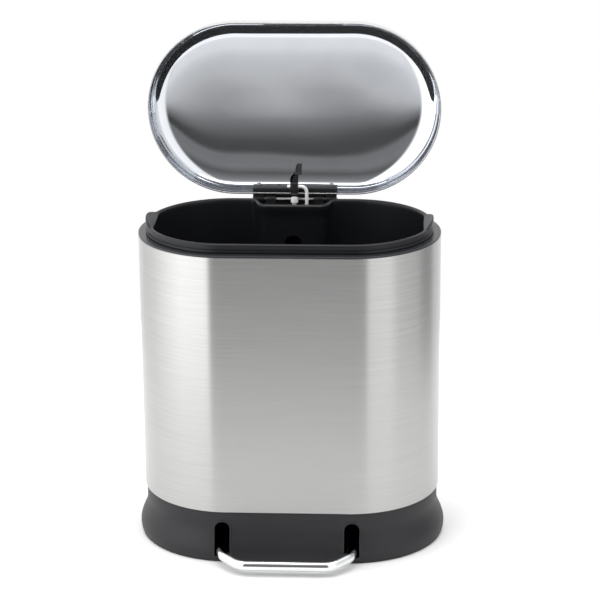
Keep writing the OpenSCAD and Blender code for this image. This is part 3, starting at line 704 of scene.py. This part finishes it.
def clip():
    """The ribbed clip: a block that holds the rod, a leaf-shaped head with ribs across it, and a foot tab."""
    def block(x0, x1, y0, y1, z0, z1, soft=1.2, edge=0.5):
        return (slab(softened([(x0, y0), (x1, y0), (x1, y1), (x0, y1)], soft), z0, z1, edge,
                     lambda a, b, h: (a, b, h)), (False, True))
    body = [block(-5.4, 5.4, 110.0, 124.3, 443.6, 457.2, 2.0, 1.2)]
    grids = [block(-5.4, 5.4, 118, 124, 440.3, 445.0)]
    # head: a leaf seen from the front, narrow at the neck, its left side bowed and its top square to the right
    leaf = softened([(-4.2, 456), (4.6, 456), (5.8, 462), (5.9, 469.8), (0.4, 469.8), (-4.2, 465.6), (-5.4, 461)],
                    [0.6, 0.8, 4, 0.7, 1.6, 2.6, 2.6])
    grids += [(slab(leaf, 113.4, 120.6, 0.6, lambda a, b, h: (a, h, b)), (False, True))]
    brim = softened([(-5.4, 456.4), (-4.2, 456.4), (-4.4, 461), (-3.2, 465.4), (0.9, 469.8), (-1.0, 469.8),
                     (-4.9, 466.0), (-5.9, 461)], [0.3, 0.3, 1.6, 1.6, 0.3, 0.4, 2.4, 2.4])
    grids += [(slab(brim, 112.2, 120.7, 0.5, lambda a, b, h: (a, h, b)), (False, True))]
    grids += [block(-3.2 + 0.75 * i, 4.4 + 0.4 * i, 112.4, 114.0, 458.4 + 2.9 * i, 459.8 + 2.9 * i, 0.5, 0.4)
              for i in range(4)]
    grids += [block(x, x + 1.5, 109.6, 113.0, 444.6, 448.4, 0.6, 0.4) for x in (-5.6, -2.6, 1.1, 4.1)]
    t = np.linspace(0, 2 * np.pi, 32, endpoint=False)
    bore = np.stack([np.stack([np.full(32, x), ROD_Y + 2.4 * np.cos(t), ROD_Z + 2.4 * np.sin(t)], 1)
                     for x in (-12.0, 12.0)])
    piece("rod_holder", body, FITTING, "lid", ["rod_clip"], 34, [(bore, (False, True))], grids)


def knob():
    """The white plunger: a rounded head on a thinner stem."""
    a = np.radians(np.linspace(0, 90, 8))
    section = np.concatenate([[(0, 393), (2.7, 393), (3, 393.4), (3, 426.9), (4.4, 427), (5, 427.6)],
                              np.stack([2.6 + 2.4 * np.cos(a), 432.6 + 2.4 * np.sin(a)], 1), [(0, 435.0)]])
    piece("white_plunger", [(lathe(section, (0, 118, 0)), (True, False))], NYLON, "plunger",
          ["damper_plunger"], 40)


def pedal():
    """The bar: two arms and a front straight in one sloping plane, its corners cut at 45 degrees on radius 24."""
    slope = math.radians(6.25)
    def at(x, reach):
        return (x, AXLE_Y - reach * math.cos(slope), AXLE_Z - reach * math.sin(slope))
    front = 146.98
    line = bent([at(-SLOT_X, 3), at(-SLOT_X, 121), at(-60, front), at(60, front), at(SLOT_X, 121), at(SLOT_X, 3)], 24)
    eye = softened([(4.05, -6), (8, -6), (8, 6), (4.05, 6)], [0.3, 0.8, 0.8, 0.3])
    grids = [(tube(line, 7.0, 56), (False, True))]
    grids += [(lathe(eye, (s * 85, AXLE_Y, AXLE_Z), "x"), (True, True)) for s in (-1, 1)]
    piece("pedal_loop", grids, CHROME, "pedal", ["pedal_bar"], 50)


steel_body()
collar()
base()
bucket()
lid()
clamp_plate()
rod()
clip()
knob()
pedal()
dress(BASE, "base_plate", "axle_brackets")
dress(RUBBER, "rubber_feet")
dress(ZINC, "base_screws", "bracket_screws", "housing_screws", "lid_screws", "axle_clips", "rod_retainer",
      "pedal_cross_tube", "pedal_lever", "lever_collars")
dress(FITTING, "hinge_housing", "hinge_leaf", "damper_body")
dress(WIRE, "hinge_pin", "pedal_axle")


# ---- studio ----
def studio():
    """A pale floor in a soft-lit room: sides sets its level round the room, and front sets it by height ahead."""
    r = np.linspace(0, 900, 12)[None]
    t = np.linspace(0, 2 * np.pi, 96, endpoint=False)[:, None]
    disc = np.stack([r * np.cos(t), r * np.sin(t), 0 * r * t], 2)
    mesh = bpy.data.meshes.new("floor")
    mesh.from_pydata((disc.reshape(-1, 3) * MM).tolist(), [], faces_of(96, 12, (True, False), 0))
    bm = bmesh.new()
    bm.from_mesh(mesh)
    bmesh.ops.remove_doubles(bm, verts=bm.verts, dist=1e-6)
    for face in bm.faces:
        if face.normal.z < 0:
            face.normal_flip()
    bm.to_mesh(mesh)
    bm.free()
    floor = bpy.data.objects.new("floor", mesh)
    bpy.context.collection.objects.link(floor)
    f = finish("floor_paper")
    grain = f.noise(600.0, detail=2.0)
    mesh.materials.append(f.surface(Base_Color=f.blend(grain, (0.93, 0.93, 0.93), (0.95, 0.95, 0.95)), Roughness=0.8))

    world = bpy.data.worlds.new("studio")
    bpy.context.scene.world = world
    w = Finish(world)
    way = w.node("ShaderNodeTexCoord", out="Generated")
    parts = [w.node("ShaderNodeSeparateXYZ", None, {0: way}, out=i) for i in range(3)]
    x, y, z = parts
    turn = w.node("ShaderNodeMath", {"operation": "ARCTAN2"}, {0: x, 1: 0 - y}) / (2 * math.pi) + 0.5
    at = lambda deg: deg / 360 + 0.5
    sides = w.node("ShaderNodeValToRGB", {"ramp": [(at(a), v / 3) for a, v in (
        (-180, 1.15), (-130, 1.15), (-105, 1.40), (-80, 1.90), (-60, 2.25), (-24, 2.15), (-14, 0.72), (12, 0.68),
        (20, 0.80), (27, 1.30), (52, 1.40), (66, 0.95), (95, 0.78), (108, 0.50), (122, 0.48), (134, 0.95),
        (180, 1.15))]}, {0: turn}) * 3.0
    rise = w.node("ShaderNodeMath", {"operation": "ARCSINE"}, {0: z}) / math.pi + 0.5
    up = lambda deg: deg / 180 + 0.5
    front = w.node("ShaderNodeValToRGB", {"ramp": [(up(e), v / 2) for e, v in (
        (-60, 0.95), (-32, 1.10), (-21, 1.00), (-17, 0.76), (-15, 0.66), (-12.3, 0.25),
        (-9.6, 0.06), (-7.4, 0.05), (-5.6, 0.20), (3, 0.22), (16, 0.10), (50, 0.30), (78, 1.2))]}, {0: rise}) * 2.0
    side = w.node("ShaderNodeMath", {"operation": "ABSOLUTE"}, {0: turn - 0.5}).step(18 / 360, 26 / 360)
    level = front * (1 - side) + sides * side
    above = z.step(0.62, 0.86) * side
    level = level * (1 - above) + 1.30 * above
    seen = w.node("ShaderNodeLightPath", out="Is Camera Ray")
    level = level * (1 - seen) + seen
    glow = w.node("ShaderNodeBackground", None, {0: (1, 1, 1, 1), 1: level})
    out = w.tree.nodes.new("ShaderNodeOutputWorld")
    w.tree.links.new(glow.socket, out.inputs[0])

    light = bpy.data.lights.new("overhead", "AREA")
    light.shape, light.size, light.size_y, light.energy = "RECTANGLE", 2.2, 1.6, 30.0
    lamp = bpy.data.objects.new("overhead", light)
    lamp.location = (0.0, -0.1, 2.6)
    bpy.context.collection.objects.link(lamp)


def camera():
    """Looks down 18.5 degrees from a little to the right, with a long lens."""
    pitch, yaw, roll = 0.3232, -0.0572, -0.0082
    ahead = np.array([math.sin(yaw) * math.cos(pitch), math.cos(yaw) * math.cos(pitch), -math.sin(pitch)])
    right = np.array([math.cos(yaw), -math.sin(yaw), 0.0])
    up = np.cross(right, ahead)
    c, s = math.cos(roll), math.sin(roll)
    right, up = c * right + s * up, -s * right + c * up
    cam = bpy.data.cameras.new("camera")
    cam.lens, cam.sensor_width, cam.sensor_fit = 137.088, 36, "HORIZONTAL"
    cam.clip_start, cam.clip_end = 0.05, 50
    obj = bpy.data.objects.new("camera", cam)
    place = np.eye(4)
    place[:3, :3] = np.column_stack([right, up, -ahead])
    place[:3, 3] = np.array([178.36, -2885.56, 1293.96]) * MM
    obj.matrix_world = Matrix(place.tolist())
    bpy.context.collection.objects.link(obj)
    bpy.context.scene.camera = obj


studio()
camera()
bpy.context.scene.view_settings.view_transform = "Standard"
